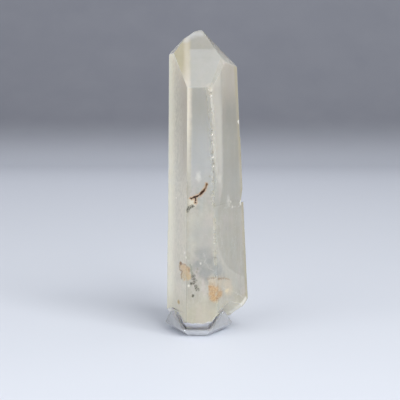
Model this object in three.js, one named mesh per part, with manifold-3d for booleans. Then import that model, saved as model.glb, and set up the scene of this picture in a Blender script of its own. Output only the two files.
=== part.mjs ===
// A quartz point with a broken foot, standing in a small clear stand with three prongs.
// Millimetres, +Z up. The stand's underside is at z = 0 with its middle at the origin, and -Y is the front.
// An azimuth is 0 towards the front (-Y) and 90 towards the right (+X).
import * as THREE from 'three';
import { ConvexGeometry } from 'three/addons/geometries/ConvexGeometry.js';
import { mergeVertices } from 'three/addons/utils/BufferGeometryUtils.js';
import Module from 'manifold-3d';

// Crystal: the six prism faces. Each is given by its distance from the axis at two heights.
const CRYSTAL_TURN = -3;
const LOW_LEVEL = 10;
const HIGH_LEVEL = 92;
const START_WIDTH = 60;
const START_HEIGHT = 130;
const PRISM_FACES = [
  { name: 'front', azimuth: 0, low: 14.6, high: 13.1 },
  { name: 'right front', azimuth: 60, low: 13.9, high: 11.1 },
  { name: 'right back', azimuth: 120, low: 18.7, high: 14.4 },
  { name: 'back', azimuth: 180, low: 14.5, high: 12.5 },
  { name: 'left back', azimuth: 240, low: 10.5, high: 9.8 },
  { name: 'left front', azimuth: 300, low: 10.4, high: 9.45 },
];

// Crystal: the six faces of the point, 38 degrees off the prism faces as on all quartz.
// "outside" is how far a face lies beyond the tip, so a large value makes a small face.
const TIP = new THREE.Vector3(1.5, 3.4, 113.0);
const POINT_RISE = 38.2;
const POINT_FACES = [
  { name: 'front', azimuth: 0, rise: POINT_RISE, outside: 0 },
  { name: 'right front', azimuth: 71, rise: 42.5, outside: 0.1 },
  { name: 'right back', azimuth: 120, rise: 41, outside: 0.1 },
  { name: 'back', azimuth: 180, rise: POINT_RISE, outside: 0.6 },
  { name: 'left back', azimuth: 240, rise: POINT_RISE, outside: 2.3 },
  { name: 'left front', azimuth: 300, rise: POINT_RISE, outside: 5.6 },
];

// Crystal: a narrow face along the edge between the point's front face and the right front prism face.
const EDGE_FACE = { azimuth: 33, rise: 24, through: new THREE.Vector3(5.35, -12.9, 91.2) };

// Crystal: the left of the tip is broken off in three flat pieces.
const TIP_BREAKS = [
  { azimuth: -78, rise: 56, through: new THREE.Vector3(-2.6, 2.4, 112.0) },
  { azimuth: -70, rise: 43, through: new THREE.Vector3(-6.9, 2.0, 108.6) },
  { azimuth: -35, rise: 66, through: new THREE.Vector3(-0.4, 1.6, 112.35) },
];

// Crystal: round scoops where its foot broke away from the rock. "out" is the distance of a
// scoop's middle from the axis and "level" its height.
const FOOT_LEVEL = 2.0;
const SCOOP_DETAIL = 9;
const FOOT_SCOOPS = [
  { azimuth: -22, out: 25, level: -16, radius: 24.4 },
  { azimuth: -3, out: 25, level: -16, radius: 24.3 },
  { azimuth: 19, out: 25, level: -16, radius: 24.5 },
  { azimuth: 57, out: 22, level: -1.5, radius: 15.95 },
  { azimuth: 94, out: 25, level: -4.5, radius: 16.0 },
  { azimuth: 119, out: 25, level: -4, radius: 17.7 },
  { azimuth: 148, out: 26, level: -5, radius: 18.4 },
  { azimuth: 177, out: 22, level: -1.5, radius: 15.95 },
  { azimuth: 207, out: 25, level: -7, radius: 18.2 },
  { azimuth: 238, out: 22, level: -9, radius: 17.2 },
  { azimuth: 270, out: 23, level: -3, radius: 15.6 },
  { azimuth: 297, out: 22, level: -1.5, radius: 15.95 },
];

// Crystal: small scoops chipped out of the edge between the front and right front prism faces.
const CHIP_DETAIL = 3;
const EDGE_CHIPS = [
  { level: 92.2, depth: 0.9, radius: 2.6 },
  { level: 89.4, depth: 0.55, radius: 1.7 },
  { level: 83.5, depth: 0.3, radius: 2.2 },
  { level: 75.8, depth: 0.55, radius: 1.9 },
  { level: 72.4, depth: 0.35, radius: 1.4 },
  { level: 67.8, depth: 0.6, radius: 2.1 },
  { level: 64.2, depth: 0.45, radius: 1.6 },
  { level: 57.6, depth: 0.4, radius: 2.4 },
];

// Crystal: a notch with a ledge half way up the right edge. "out" is how far its cutter stands out.
const LEDGE_LEVEL = 48.8;
const LEDGE_DEPTH = 1.0;
const LEDGE_RISE = 8.5;
const LEDGE_SLOPE = 0.6;
const LEDGE_HALF_WIDTH = 12;
const CUT_OUT = 3;

// Crystal: growth steps, shallow flats that end in a ledge part way up a prism face. The ledge is
// not quite level: STEP_TILT is its rise for each millimetre across the face.
const STEP_SLOPE = 0.3;
const STEP_TILT = 0.05;
const STEP_HALF_WIDTH = 20;
const GROWTH_STEPS = [
  { face: 1, level: 49.5, depth: 0.22, height: 17 },
  { face: 3, level: 62, depth: 0.35, height: 40 },
  { face: 4, level: 38, depth: 0.3, height: 30 },
  { face: 2, level: 74, depth: 0.3, height: 40 },
];

// Stand: a shallow cup with six sides, three short and three long. Each long side has a prong.
const STAND_SIDES = 6;
const SIDE_TURN = 360 / STAND_SIDES;
const PRONG_SIDES = [1, 3, 5];
const STAND_TURN = -3;
const RIM_RADIUS = 13.0;
const SHORT_SIDE_ANGLE = 47;
const RIM_HEIGHT = 2.9;
const FOOT_INSET = 3.1;
const WALL = 1.25;
const FLOOR_THICKNESS = 1.7;
const PRONG_HEIGHT = 8.8;
const PRONG_LEAN = 1.3;
const PRONG_ROOT = 1.0;
const PRONG_ROOT_INSET = 0.9;
const ABOVE_RIM = 1;

const QUARTZ = { color: 0xcfcfc4, roughness: 0.18, metalness: 0 };
const ACRYLIC = { color: 0xc9cfdb, roughness: 0.06, metalness: 0 };

const CUTTER_SIZE = 400;
const SAME_POINT = 1e-5;
const wasm = await Module();
wasm.setup();

// Solids and geometries

function solidFrom(geometry) {
  const bare = geometry.clone();
  bare.deleteAttribute('normal');
  bare.deleteAttribute('uv');
  const merged = mergeVertices(bare, SAME_POINT);
  return new wasm.Manifold(
    new wasm.Mesh({
      numProp: 3,
      vertProperties: new Float32Array(merged.attributes.position.array),
      triVerts: new Uint32Array(merged.index.array),
    })
  );
}

function geometryFrom(solid) {
  const mesh = solid.getMesh();
  const shared = new THREE.BufferGeometry();
  shared.setAttribute('position', new THREE.BufferAttribute(new Float32Array(mesh.vertProperties), 3));
  shared.setIndex(new THREE.BufferAttribute(new Uint32Array(mesh.triVerts), 1));
  const geometry = shared.toNonIndexed();
  geometry.computeVertexNormals();
  return geometry;
}

function direction(azimuth, rise = 0) {
  const around = THREE.MathUtils.degToRad(azimuth);
  const up = THREE.MathUtils.degToRad(rise);
  return new THREE.Vector3(
    Math.sin(around) * Math.cos(up),
    -Math.cos(around) * Math.cos(up),
    Math.sin(up)
  );
}

// A block that fills all space beyond the plane through a point, on the side its normal points to.
function blockBeyond(point, normal) {
  const block = new THREE.BoxGeometry(CUTTER_SIZE, CUTTER_SIZE, CUTTER_SIZE);
  block.translate(0, 0, CUTTER_SIZE / 2);
  block.applyQuaternion(new THREE.Quaternion().setFromUnitVectors(new THREE.Vector3(0, 0, 1), normal));
  block.translate(point.x, point.y, point.z);
  return solidFrom(block);
}

function ball(centre, radius, detail) {
  const round = new THREE.IcosahedronGeometry(radius, detail);
  round.translate(centre.x, centre.y, centre.z);
  return solidFrom(round);
}

// Crystal

function prismPlane(face) {
  const lean = Math.atan2(face.low - face.high, HIGH_LEVEL - LOW_LEVEL);
  const point = direction(face.azimuth + CRYSTAL_TURN).multiplyScalar(face.low);
  point.z = LOW_LEVEL;
  return { point, normal: direction(face.azimuth + CRYSTAL_TURN, THREE.MathUtils.radToDeg(lean)) };
}

function faceDistance(face, level) {
  return face.low + ((face.high - face.low) * (level - LOW_LEVEL)) / (HIGH_LEVEL - LOW_LEVEL);
}

// The point at a given height on the upright edge where two neighbouring prism faces meet.
function edgePoint(first, second, level) {
  const one = direction(first.azimuth + CRYSTAL_TURN);
  const two = direction(second.azimuth + CRYSTAL_TURN);
  const reach = faceDistance(first, level);
  const other = faceDistance(second, level);
  const cross = one.x * two.y - one.y * two.x;
  return new THREE.Vector3(
    (reach * two.y - other * one.y) / cross,
    (other * one.x - reach * two.x) / cross,
    level
  );
}

function prism() {
  const start = new THREE.BoxGeometry(START_WIDTH, START_WIDTH, START_HEIGHT);
  start.translate(0, 0, START_HEIGHT / 2 + FOOT_LEVEL);
  return PRISM_FACES.reduce((solid, face) => {
    const { point, normal } = prismPlane(face);
    return solid.subtract(blockBeyond(point, normal));
  }, solidFrom(start));
}

function withPoint(solid) {
  const sharpened = POINT_FACES.reduce((rest, face) => {
    const normal = direction(face.azimuth + CRYSTAL_TURN, face.rise);
    const point = TIP.clone().addScaledVector(normal, face.outside);
    return rest.subtract(blockBeyond(point, normal));
  }, solid);
  const edge = blockBeyond(EDGE_FACE.through, direction(EDGE_FACE.azimuth, EDGE_FACE.rise));
  return sharpened.subtract(edge);
}

function withBrokenTip(solid) {
  return TIP_BREAKS.reduce(
    (rest, flat) => rest.subtract(blockBeyond(flat.through, direction(flat.azimuth, flat.rise))),
    solid
  );
}

function scoop({ azimuth, out, level, radius }) {
  const centre = direction(azimuth).multiplyScalar(out);
  centre.z = level;
  return ball(centre, radius, SCOOP_DETAIL);
}

function withBrokenFoot(solid) {
  return FOOT_SCOOPS.reduce((rest, hollow) => rest.subtract(scoop(hollow)), solid);
}

function withEdgeChips(solid) {
  const [front, rightFront] = PRISM_FACES;
  const outward = direction((front.azimuth + rightFront.azimuth) / 2 + CRYSTAL_TURN);
  return EDGE_CHIPS.reduce((rest, chip) => {
    const edge = edgePoint(front, rightFront, chip.level);
    const centre = edge.addScaledVector(outward, chip.radius - chip.depth);
    return rest.subtract(ball(centre, chip.radius, CHIP_DETAIL));
  }, solid);
}

// The notch on the right edge: its underside is the ledge and its back runs up and out to the edge.
function withLedge(solid) {
  const [, rightFront, rightBack] = PRISM_FACES;
  const outward = direction((rightFront.azimuth + rightBack.azimuth) / 2 + CRYSTAL_TURN);
  const edge = edgePoint(rightFront, rightBack, LEDGE_LEVEL);
  const across = new THREE.Vector3(-outward.y, outward.x, 0);
  const corners = [
    [-LEDGE_DEPTH, 0],
    [CUT_OUT, LEDGE_SLOPE],
    [CUT_OUT, LEDGE_RISE],
    [0, LEDGE_RISE],
  ];
  const points = [-LEDGE_HALF_WIDTH, LEDGE_HALF_WIDTH].flatMap((side) =>
    corners.map(([out, up]) =>
      edge.clone().addScaledVector(outward, out).addScaledVector(across, side).setZ(LEDGE_LEVEL + up)
    )
  );
  return solid.subtract(solidFrom(new ConvexGeometry(points)));
}

// A growth step: a thin wedge off a prism face that is deepest at the ledge and runs out above it.
function withGrowthSteps(solid) {
  return GROWTH_STEPS.reduce((rest, step) => {
    const face = PRISM_FACES[step.face];
    const outward = direction(face.azimuth + CRYSTAL_TURN);
    const across = new THREE.Vector3(-outward.y, outward.x, 0);
    const reachLow = faceDistance(face, step.level);
    const reachHigh = faceDistance(face, step.level + step.height);
    const corners = [
      [reachLow - step.depth, 0, STEP_TILT],
      [reachLow + CUT_OUT, STEP_SLOPE, STEP_TILT],
      [reachHigh + CUT_OUT, step.height, 0],
      [reachHigh, step.height, 0],
    ];
    const points = [-STEP_HALF_WIDTH, STEP_HALF_WIDTH].flatMap((side) =>
      corners.map(([out, up, tilt]) => {
        const point = outward.clone().multiplyScalar(out).addScaledVector(across, side);
        return point.setZ(step.level + up + side * tilt);
      })
    );
    return rest.subtract(solidFrom(new ConvexGeometry(points)));
  }, solid);
}

function quartzPoint() {
  const steps = [withPoint, withGrowthSteps, withBrokenTip, withBrokenFoot, withEdgeChips, withLedge];
  return steps.reduce((solid, step) => step(solid), prism());
}

// Stand

// The six corners at the rim, as distances of the sides from the middle moved in by an inset.
function standCorners(inset, level) {
  const half = SHORT_SIDE_ANGLE / 2;
  const shortReach = RIM_RADIUS * Math.cos(THREE.MathUtils.degToRad(half)) - inset;
  const longReach = RIM_RADIUS * Math.cos(THREE.MathUtils.degToRad(SIDE_TURN - half)) - inset;
  const corners = [];
  for (let side = 0; side < STAND_SIDES; side += 1) {
    const one = direction(STAND_TURN + SIDE_TURN * side);
    const two = direction(STAND_TURN + SIDE_TURN * (side + 1));
    const reach = side % 2 === 0 ? shortReach : longReach;
    const next = side % 2 === 0 ? longReach : shortReach;
    const cross = one.x * two.y - one.y * two.x;
    corners.push(
      new THREE.Vector3(
        (reach * two.y - next * one.y) / cross,
        (next * one.x - reach * two.x) / cross,
        level
      )
    );
  }
  return corners;
}

function cup() {
  const flare = FOOT_INSET / RIM_HEIGHT;
  const outside = new ConvexGeometry([...standCorners(FOOT_INSET, 0), ...standCorners(0, RIM_HEIGHT)]);
  const floorInset = WALL + flare * (RIM_HEIGHT - FLOOR_THICKNESS);
  const inside = new ConvexGeometry([
    ...standCorners(floorInset, FLOOR_THICKNESS),
    ...standCorners(WALL - flare * ABOVE_RIM, RIM_HEIGHT + ABOVE_RIM),
  ]);
  return solidFrom(outside).subtract(solidFrom(inside));
}

// A prong is a triangular plate that stands on a long side of the rim and leans a little outwards.
function prong(side) {
  const outer = standCorners(0, RIM_HEIGHT);
  const inner = standCorners(WALL, RIM_HEIGHT);
  const outward = direction(STAND_TURN + SIDE_TURN * side);
  const plate = [outer, inner].flatMap((corners) => {
    const left = corners[side - 1];
    const right = corners[side];
    const peak = left.clone().add(right).multiplyScalar(0.5).addScaledVector(outward, PRONG_LEAN);
    return [left, right, peak.setZ(PRONG_HEIGHT)];
  });
  const root = plate
    .filter((point) => point.z < PRONG_HEIGHT)
    .map((point) => point.clone().addScaledVector(outward, -PRONG_ROOT_INSET).setZ(RIM_HEIGHT - PRONG_ROOT));
  return solidFrom(new ConvexGeometry([...plate, ...root]));
}

function displayStand() {
  return PRONG_SIDES.reduce((solid, side) => solid.add(prong(side)), cup());
}

// Assembly

const crystal = new THREE.Mesh(geometryFrom(quartzPoint()), new THREE.MeshStandardMaterial(QUARTZ));
crystal.name = 'quartz_point';

const stand = new THREE.Mesh(geometryFrom(displayStand()), new THREE.MeshStandardMaterial(ACRYLIC));
stand.name = 'display_stand';

const group = new THREE.Group();
group.add(crystal, stand);

export default group;
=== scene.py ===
"""The looks of a milky quartz point on a small clear stand, laid out as a Blender add-on and run as a script.

Metres, +Z up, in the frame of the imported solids: the stand's underside is at z = 0 and -Y is the front.
"""

import math

import bmesh
import bpy
from bpy.props import FloatProperty, FloatVectorProperty, PointerProperty
from bpy.types import Operator, Panel, PropertyGroup
from mathutils import Euler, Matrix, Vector, noise
from mathutils.bvhtree import BVHTree


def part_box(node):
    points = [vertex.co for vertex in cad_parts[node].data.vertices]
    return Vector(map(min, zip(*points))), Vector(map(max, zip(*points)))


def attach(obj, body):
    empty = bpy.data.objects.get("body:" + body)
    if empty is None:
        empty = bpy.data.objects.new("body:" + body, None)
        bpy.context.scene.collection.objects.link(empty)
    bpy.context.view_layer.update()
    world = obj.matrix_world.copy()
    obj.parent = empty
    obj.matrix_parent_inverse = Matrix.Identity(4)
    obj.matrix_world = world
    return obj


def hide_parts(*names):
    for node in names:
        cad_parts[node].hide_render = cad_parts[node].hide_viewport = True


bl_info = {
    "name": "Quartz Point",
    "version": (1, 0, 0),
    "blender": (4, 5, 0),
    "location": "View3D > Sidebar > Quartz",
    # The finish holds painted light, shade and glints on the crystal and painted light at the stand's foot.
    "description": "Dresses a quartz point and its clear stand with their natural finish",
    "category": "Object",
}

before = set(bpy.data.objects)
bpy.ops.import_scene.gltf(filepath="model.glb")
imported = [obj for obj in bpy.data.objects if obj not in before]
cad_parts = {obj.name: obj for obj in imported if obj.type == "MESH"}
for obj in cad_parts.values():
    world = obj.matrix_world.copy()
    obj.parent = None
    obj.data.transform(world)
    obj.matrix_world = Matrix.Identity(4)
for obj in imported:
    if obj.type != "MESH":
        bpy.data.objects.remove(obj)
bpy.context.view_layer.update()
CRYSTAL_LOW, CRYSTAL_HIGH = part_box("quartz_point")
MM = 0.001
FOOT_TOP = CRYSTAL_LOW.z + 15 * MM
SHOULDER_TOP = CRYSTAL_HIGH.z - 14 * MM
TIP_BREAK_LOW = CRYSTAL_HIGH.z - 7 * MM
TIP_BREAK_BACK = 4.5 * MM
NICKS_TOP = CRYSTAL_HIGH.z - 24 * MM
NICKS_FADE = 18 * MM
WAVES_LOW = CRYSTAL_LOW.z + 10 * MM
NICK_REACH = 0.5 * MM
NICK_STRIP = 0.6 * MM
SHARP = math.radians(20)

# The sharpest angle in degrees that a face is smoothed over.
SMOOTH_BREAK, SMOOTH_FACE, SMOOTH_STAND = 38, 12, 30

# The photograph is 400 x 400 pixels, and every column and row below is in that frame.
IMAGE_SIDE = 400
CAMERA_LENS = 85.0
CAMERA_SENSOR = 36.0
CAMERA_PLACE = Vector((0.00057, -0.354, 0.0872))
CAMERA_DOWN = math.radians(6.0)

# Marks on the crystal, painted highlights among them, as (column, row) of the photograph.
RUST_THREAD = (
    (206.7, 184.4), (205.8, 186.8), (204.4, 189.6), (201.9, 193.0),
    (199.1, 195.2), (196.3, 196.6), (193.6, 197.2), (191.2, 198.4),
)
RUST_BRANCH = ((195.6, 197.4), (195.8, 200.2), (195.4, 202.4))
THREAD_TAIL = ((193.0, 206.0), (190.8, 206.8), (189.2, 208.0), (187.0, 210.9))
THREAD_BLOOM = (192.0, 202.5)
LEFT_STAIN = (
    (181.2, 266.0), (184.4, 266.8), (187.4, 270.0), (183.2, 270.6), (186.2, 274.0), (182.2, 275.6),
    (188.4, 276.6), (184.6, 272.6), (184.2, 277.4),
)
LEFT_STAIN_RIM = (
    (180.8, 263.0), (179.6, 266.4), (179.8, 269.6), (182.2, 271.6), (181.0, 275.4), (181.4, 278.4),
)
LEFT_STAIN_TOP = ((181.2, 263.4), (185.4, 264.6), (188.4, 267.4), (189.2, 271.0))
LEFT_STAIN_CORE = (180.8, 263.2)
GREY_CURVE = ((190.2, 264.6), (191.6, 268.0), (191.2, 271.0), (192.4, 274.2))
SPECK_CHAIN = (
    (193.8, 275.2), (192.8, 277.6), (194.8, 280.6), (193.6, 283.2), (195.2, 286.6), (197.6, 290.4),
)
LONE_SPECKS = ((193.0, 295.8), (191.0, 283.6))
TIP_EDGE = ((185.4, 39.8), (190.0, 36.2), (195.6, 34.4), (199.8, 33.4))
# Painted highlights: small bright sparks near the silhouette.
SPARK_HIGHLIGHTS = ((238.4, 122.0), (240.4, 202.5))
CORNER_NOTCH = (210.2, 90.0)
RIGHT_STAIN = ((211.2, 288.2), (216.0, 289.4), (212.5, 294.0), (219.4, 294.0), (214.4, 298.0))
RIGHT_STAIN_MIDDLE = (215.4, 292.6)
RIGHT_BLUSH = ((213.0, 281.5), (220.0, 281.0), (227.0, 284.0), (229.0, 290.0))
RIGHT_STAIN_LIMIT = ((207.8, 274.0), (208.2, 300.0))
RIGHT_LINE = ((208.0, 278.6), (213.0, 278.0), (219.0, 279.0), (224.0, 277.8), (229.0, 279.4))
CREAM_FLECK = (227.0, 290.6)
SMALL_SPOT = (178.6, 302.0)
WINDOW = ((203.0, 254.0), (208.6, 260.0), (199.4, 265.0), (213.4, 269.0), (206.0, 272.0), (218.0, 275.0))
WISPS = (
    ((201.5, 240.2), (203.8, 235.0), (207.0, 234.2), (209.5, 239.0)),
    ((209.5, 226.5), (212.6, 225.6), (214.4, 229.6)),
    ((203.0, 253.0), (205.6, 258.4), (204.8, 262.0)),
    ((206.6, 262.6), (209.6, 267.6), (213.4, 270.2)),
    ((228.6, 199.8), (230.6, 203.6), (228.0, 207.0)),
)
FLECKS = (
    (176.2, 198.0), (184.5, 252.5), (200.5, 263.5), (188.7, 285.8),
    (230.7, 201.7), (232.4, 207.0), (186.0, 257.5),
)
DEEP_EDGE = (
    (221.6, 92.0), (222.4, 160.0), (222.0, 186.0), (217.4, 212.0), (216.2, 232.0),
    (217.8, 246.0), (221.4, 258.0), (226.8, 267.0), (234.0, 273.0), (244.0, 277.0),
)
BEND = ((216.4, 238.0), (218.6, 250.0), (222.2, 261.0), (227.4, 268.6), (234.0, 273.0))
CORNER_EDGE = (
    (207.6, 88.5), (209.8, 96.0), (211.2, 108.0), (212.2, 124.0),
    (212.4, 142.0), (213.6, 160.0), (215.0, 178.0),
)
# Painted highlights: soft glints.
GLINTS = ((198.4, 176.8), (219.5, 178.2), (228.4, 201.0))
DIM_SPOTS = ((214.2, 163.5), (212.8, 160.8), (213.6, 171.8), (209.6, 176.4), (197.6, 269.0), (196.6, 272.2))
HEALED_BREAK = ((224.0, 208.2), (229.0, 206.8), (234.0, 207.2), (240.6, 205.4))
BREAK_EDGE = ((222.0, 287.6), (229.0, 289.4), (236.0, 292.8), (243.0, 296.6))
# Painted glint along the lower edge of the right break.
BREAK_RIM = ((245.6, 298.6), (243.0, 302.6), (240.0, 305.4), (235.0, 309.4), (231.0, 312.2))
GREY_VEIL = ((199.0, 233.0), (207.0, 230.0), (204.0, 243.0))

# Upright lines on the front faces, each as its (column, row) near the top and near the bottom.
STRIP_LEFT = ((187.3, 100.0), (186.8, 180.0))
STRIP_RIGHT = ((191.7, 100.0), (191.2, 180.0))
INNER_EDGE = ((221.8, 100.0), (223.0, 180.0))
SHADE_EDGE = ((176.0, 100.0), (175.5, 250.0))
RIGHT_BAND = ((236.6, 110.0), (240.6, 190.0))
POINT_LINE = ((190.6, 50.0), (190.8, 84.0))

# Rows of the photograph between which a look fades: it is nought at the first and whole at the second.
BANDS_ROWS = (205.0, 160.0)
SKY_ROWS = (105.0, 150.0)
STRIP_ROWS = (170.0, 115.0)
DEEP_LOW_ROWS = (225.0, 180.0)
TOP_RIGHT_ROWS = (120.0, 90.0)
CORNER_ROWS = (120.0, 160.0)
HEALED_ROWS = (205.0, 228.0)
SCOOP_ROWS = (303.0, 310.0)
UNDER_ROWS = (323.2, 324.4)
PALE_STAIN_ROWS = (270.0, 278.0)
FRESH_RUST_ROWS = (191.5, 187.5)

# The rows that the darker line along the foot's lower rim lies between.
FOOT_RIM_ROWS = (324.0, 323.0)

# Single rows, and the column that heights are read in.
SHOULDER_ROW = 88.0
DEEP_TOP_ROW = 128.0
POINT_BASE_ROW = 87.5
LEVEL_COLUMN = 200.0

# Tones of the milky quartz, with painted light and shade among them: a colour, and the share of the clear
# quartz that it covers.
LEFT_SIDE_LIGHT_TONE = (0.80, 0.76, 0.65), 0.78
LEFT_RIM_HIGHLIGHT_TONE = (0.90, 0.87, 0.72), 0.84
BESIDE_STRIP_SHADE_TONE = (0.46, 0.40, 0.34), 0.62
INNER_LIGHT_TONE = (0.65, 0.63, 0.57), 0.64
TOP_RIGHT_LIGHT_TONE = (0.62, 0.57, 0.50), 0.66
RIGHT_RIM_LIGHT_TONE = (0.51, 0.46, 0.29), 0.55
CORNER_LINE_TONE = (0.34, 0.33, 0.28), 0.5
CORNER_FLECK_TONE = (0.78, 0.74, 0.60), 0.8
POINT_TONE = (0.355, 0.36, 0.34), 0.64
POINT_HIGHLIGHT_TONE = (0.62, 0.58, 0.51), 0.7
TIP_TONE = (0.56, 0.58, 0.62), 0.72
HEALED_TONE = (0.68, 0.67, 0.61), 0.72
WINDOW_TONE = (0.30, 0.32, 0.325), 0.45
BEND_TONE = (0.60, 0.59, 0.53), 0.7
FOOT_TONE = (0.51, 0.48, 0.35), 0.8
SCOOP_PAINTED_LIGHT_TONE = (0.74, 0.71, 0.60), 0.88
WHITE_SCOOP_PAINTED_LIGHT_TONE = (0.95, 0.94, 0.91), 0.94
BREAK_RIM_GLINT_TONE = (0.92, 0.90, 0.84), 0.9
UNDERSIDE_PAINTED_LIGHT_TONE = (0.80, 0.80, 0.86), 0.85
WISP_TONE = (0.78, 0.76, 0.70), 0.8
FLECK_TONE = (0.90, 0.87, 0.79), 0.86
GLINT_TONE = (0.84, 0.82, 0.77), 0.8
SPARK_HIGHLIGHT_TONE = (1.0, 0.98, 0.92), 0.92
GREY_VEIL_TONE = (0.43, 0.44, 0.41), 0.6
CREAM_FLECK_TONE = (0.80, 0.72, 0.48), 0.85
BLOOM_TONE = (0.74, 0.70, 0.56), 0.8
BROKEN_FOOT_TONE = (0.90, 0.86, 0.70), 0.8
BROKEN_TIP_TONE = (0.55, 0.56, 0.59), 0.7
STRIP_COVER = 0.85
SKY_COVER = 0.5
DEEP_SHADE_COVER = 0.45
TAN_COVER = 0.66
HIGH_SKY_REFLECTION = (0.46, 0.465, 0.43)
LOW_SKY_REFLECTION = (0.51, 0.53, 0.54)
LOW_TAN = (0.54, 0.50, 0.43)
PALE_MILK = (0.53, 0.51, 0.46)
WARM_MILK = (0.60, 0.53, 0.50)
GREEN_MILK = (0.47, 0.50, 0.45)

# Colours of what lies on the surface, and of the darker lines along the front right edge and the foot's lower
# rim.
CORNER_LINE_DARK = (0.33, 0.33, 0.28)
CORNER_DIRT = (0.24, 0.22, 0.14)
CHIP_DUST = (0.37, 0.35, 0.27)
NOTCH_DUST = (0.40, 0.38, 0.33)
FOOT_RIM_DARK = (0.34, 0.32, 0.27)
DIM_SPOT_DIRT = (0.16, 0.15, 0.11)
PALE_STAIN = (0.58, 0.47, 0.28)
SHADED_STAIN = (0.36, 0.23, 0.10)
DEEP_STAIN = (0.44, 0.27, 0.11)
BLUSH_STAIN = (0.58, 0.47, 0.33)
ROUND_STAIN = (0.56, 0.42, 0.25)
ORANGE_STAIN = (0.50, 0.31, 0.13)
RED_STAIN = (0.31, 0.15, 0.045)
STAIN_OUTLINE = (0.26, 0.14, 0.055)
STAIN_CORE = (0.20, 0.09, 0.03)
OCHRE_SPOT = (0.34, 0.23, 0.07)
RUST_HALO = (0.42, 0.20, 0.055)
FRESH_RUST = (0.11, 0.055, 0.015)
GREY_DIRT = (0.16, 0.17, 0.13)
GREEN_SPECKS = (0.17, 0.17, 0.11)
DARK_SPECKS = (0.045, 0.042, 0.028)

QUARTZ_IOR = 1.544
CRUST_IOR = 1.5
ACRYLIC_IOR = 1.49
# Painted light: the whiter haze at the stand's foot.
ACRYLIC_FOOT_PAINTED_LIGHT = (0.92, 0.93, 0.95)
ACRYLIC_DENSITY = 3.0
ACRYLIC_GLOW = 3.0 * MM

# The soft lights: name, place and side in metres, power in watts, and colour.
LIGHTS = (
    ("key", (0.46, -0.68, 0.78), 0.66, 11.6, (1.0, 0.98, 0.95)),
    ("top", (0.0, -0.1, 1.0), 1.2, 2.6, (1.0, 1.0, 1.0)),
    ("fill", (-0.5, -0.5, 0.4), 0.6, 2.2, (1.0, 0.98, 0.94)),
)
LIGHTS_AIM = (0, 0, 0.05)
WEAVE_COLOUR = (0.75, 0.75, 0.78)
# Painted shade towards the right of the backdrop.
RIGHT_SHADE = (0.30, 0.32, 0.36)
STUDIO_COLOUR = (0.88, 0.88, 0.90, 1)
STUDIO_STRENGTH = 0.53


def view_ray(column, row):
    """The direction of the camera's ray through a pixel of the photograph."""
    focal = CAMERA_LENS / CAMERA_SENSOR * IMAGE_SIDE
    half = IMAGE_SIDE / 2
    forward = Vector((0, math.cos(CAMERA_DOWN), -math.sin(CAMERA_DOWN)))
    upward = Vector((0, math.sin(CAMERA_DOWN), math.cos(CAMERA_DOWN)))
    ray = forward * focal + Vector((1, 0, 0)) * (column - half) + upward * (half - row)
    return ray.normalized()


def crystal_tree():
    """A search tree of the crystal's solid, for placing marks on its faces."""
    solid = bmesh.new()
    solid.from_mesh(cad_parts["quartz_point"].data)
    tree = BVHTree.FromBMesh(solid)
    solid.free()
    return tree


CRYSTAL_TREE = crystal_tree()


def seen_at(pixel):
    """The point of the crystal's surface that the photograph shows at a pixel, in millimetres."""
    place, _, _, _ = CRYSTAL_TREE.ray_cast(CAMERA_PLACE, view_ray(*pixel))
    if place is None:
        raise RuntimeError(f"no crystal at {pixel}")
    return place / MM


def length_setting(name, description, default):
    """A length that the panel shows in the scene's units."""
    return FloatProperty(name=name, description=description, default=default, unit="LENGTH")


def colour_setting(name, description, default):
    """A colour that the panel shows as a swatch."""
    return FloatVectorProperty(
        name=name, description=description, default=default, size=3, subtype="COLOR")


class QuartzSettings(PropertyGroup):
    """Sizes and colours of the crystal."""

    edge_wear: length_setting("Edge wear", "Width of the worn edges", 0.16 * MM)
    growth_step: length_setting("Growth step", "Height between the fine growth lines", 0.62 * MM)
    growth_depth: length_setting("Growth depth", "Depth of the fine growth lines", 0.02 * MM)
    nick_depth: length_setting(
        "Nick depth", "Depth of the deepest nicks on the front right edge", 0.6 * MM)
    break_depth: length_setting(
        "Break depth", "Depth of the ripples on the broken foot and tip", 0.3 * MM)
    clear: colour_setting("Clear quartz", "Tint of the clear quartz", (0.97, 0.97, 0.95))
    milk: colour_setting("Milk", "Colour of the milky quartz", (0.46, 0.45, 0.38))
    cream: colour_setting("Cream", "Colour of the bright inner reflections", (0.71, 0.67, 0.57))
    # Painted light: the tan stands for the back face seen through the point.
    tan: colour_setting(
        "Tan", "Colour of the left of the point, where the back shows through", (0.42, 0.385, 0.26))
    shade: colour_setting("Shade", "Colour of the deep right front face", (0.37, 0.355, 0.285))
    depth_tint: colour_setting(
        "Depth tint", "Colour that deep quartz lets through", (0.86, 0.86, 0.74))
    depth_density: FloatProperty(
        name="Depth density", description="How fast deep quartz takes on its tint, per metre",
        default=14.0)
    glow: length_setting("Glow", "How far light spreads inside the milky quartz", 7.0 * MM)
    rust: colour_setting("Rust", "Colour of the rust thread", (0.03, 0.010, 0.002))
    stain: colour_setting("Stain", "Colour of the earthy stains", (0.60, 0.40, 0.20))


class StandSettings(PropertyGroup):
    """Sizes and colours of the stand."""

    edge_round: length_setting("Edge round", "Rounding of the moulded edges", 0.12 * MM)
    tint: colour_setting("Tint", "Colour that thick acrylic lets through", (0.84, 0.88, 0.97))
    haze: colour_setting("Haze", "Colour of the faint haze on the acrylic", (0.74, 0.76, 0.79))


class StageSettings(PropertyGroup):
    """Colours of the plain floor and backdrop."""

    floor: colour_setting("Floor", "Colour of the floor near the object", (0.585, 0.625, 0.70))
    # Painted light: the far floor is laid brighter where less light reaches it.
    painted_light_far_floor: colour_setting(
        "Far floor", "Colour of the floor far behind the object", (0.77, 0.82, 0.92))
    wall: colour_setting("Wall", "Colour of the backdrop", (0.242, 0.256, 0.304))


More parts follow.
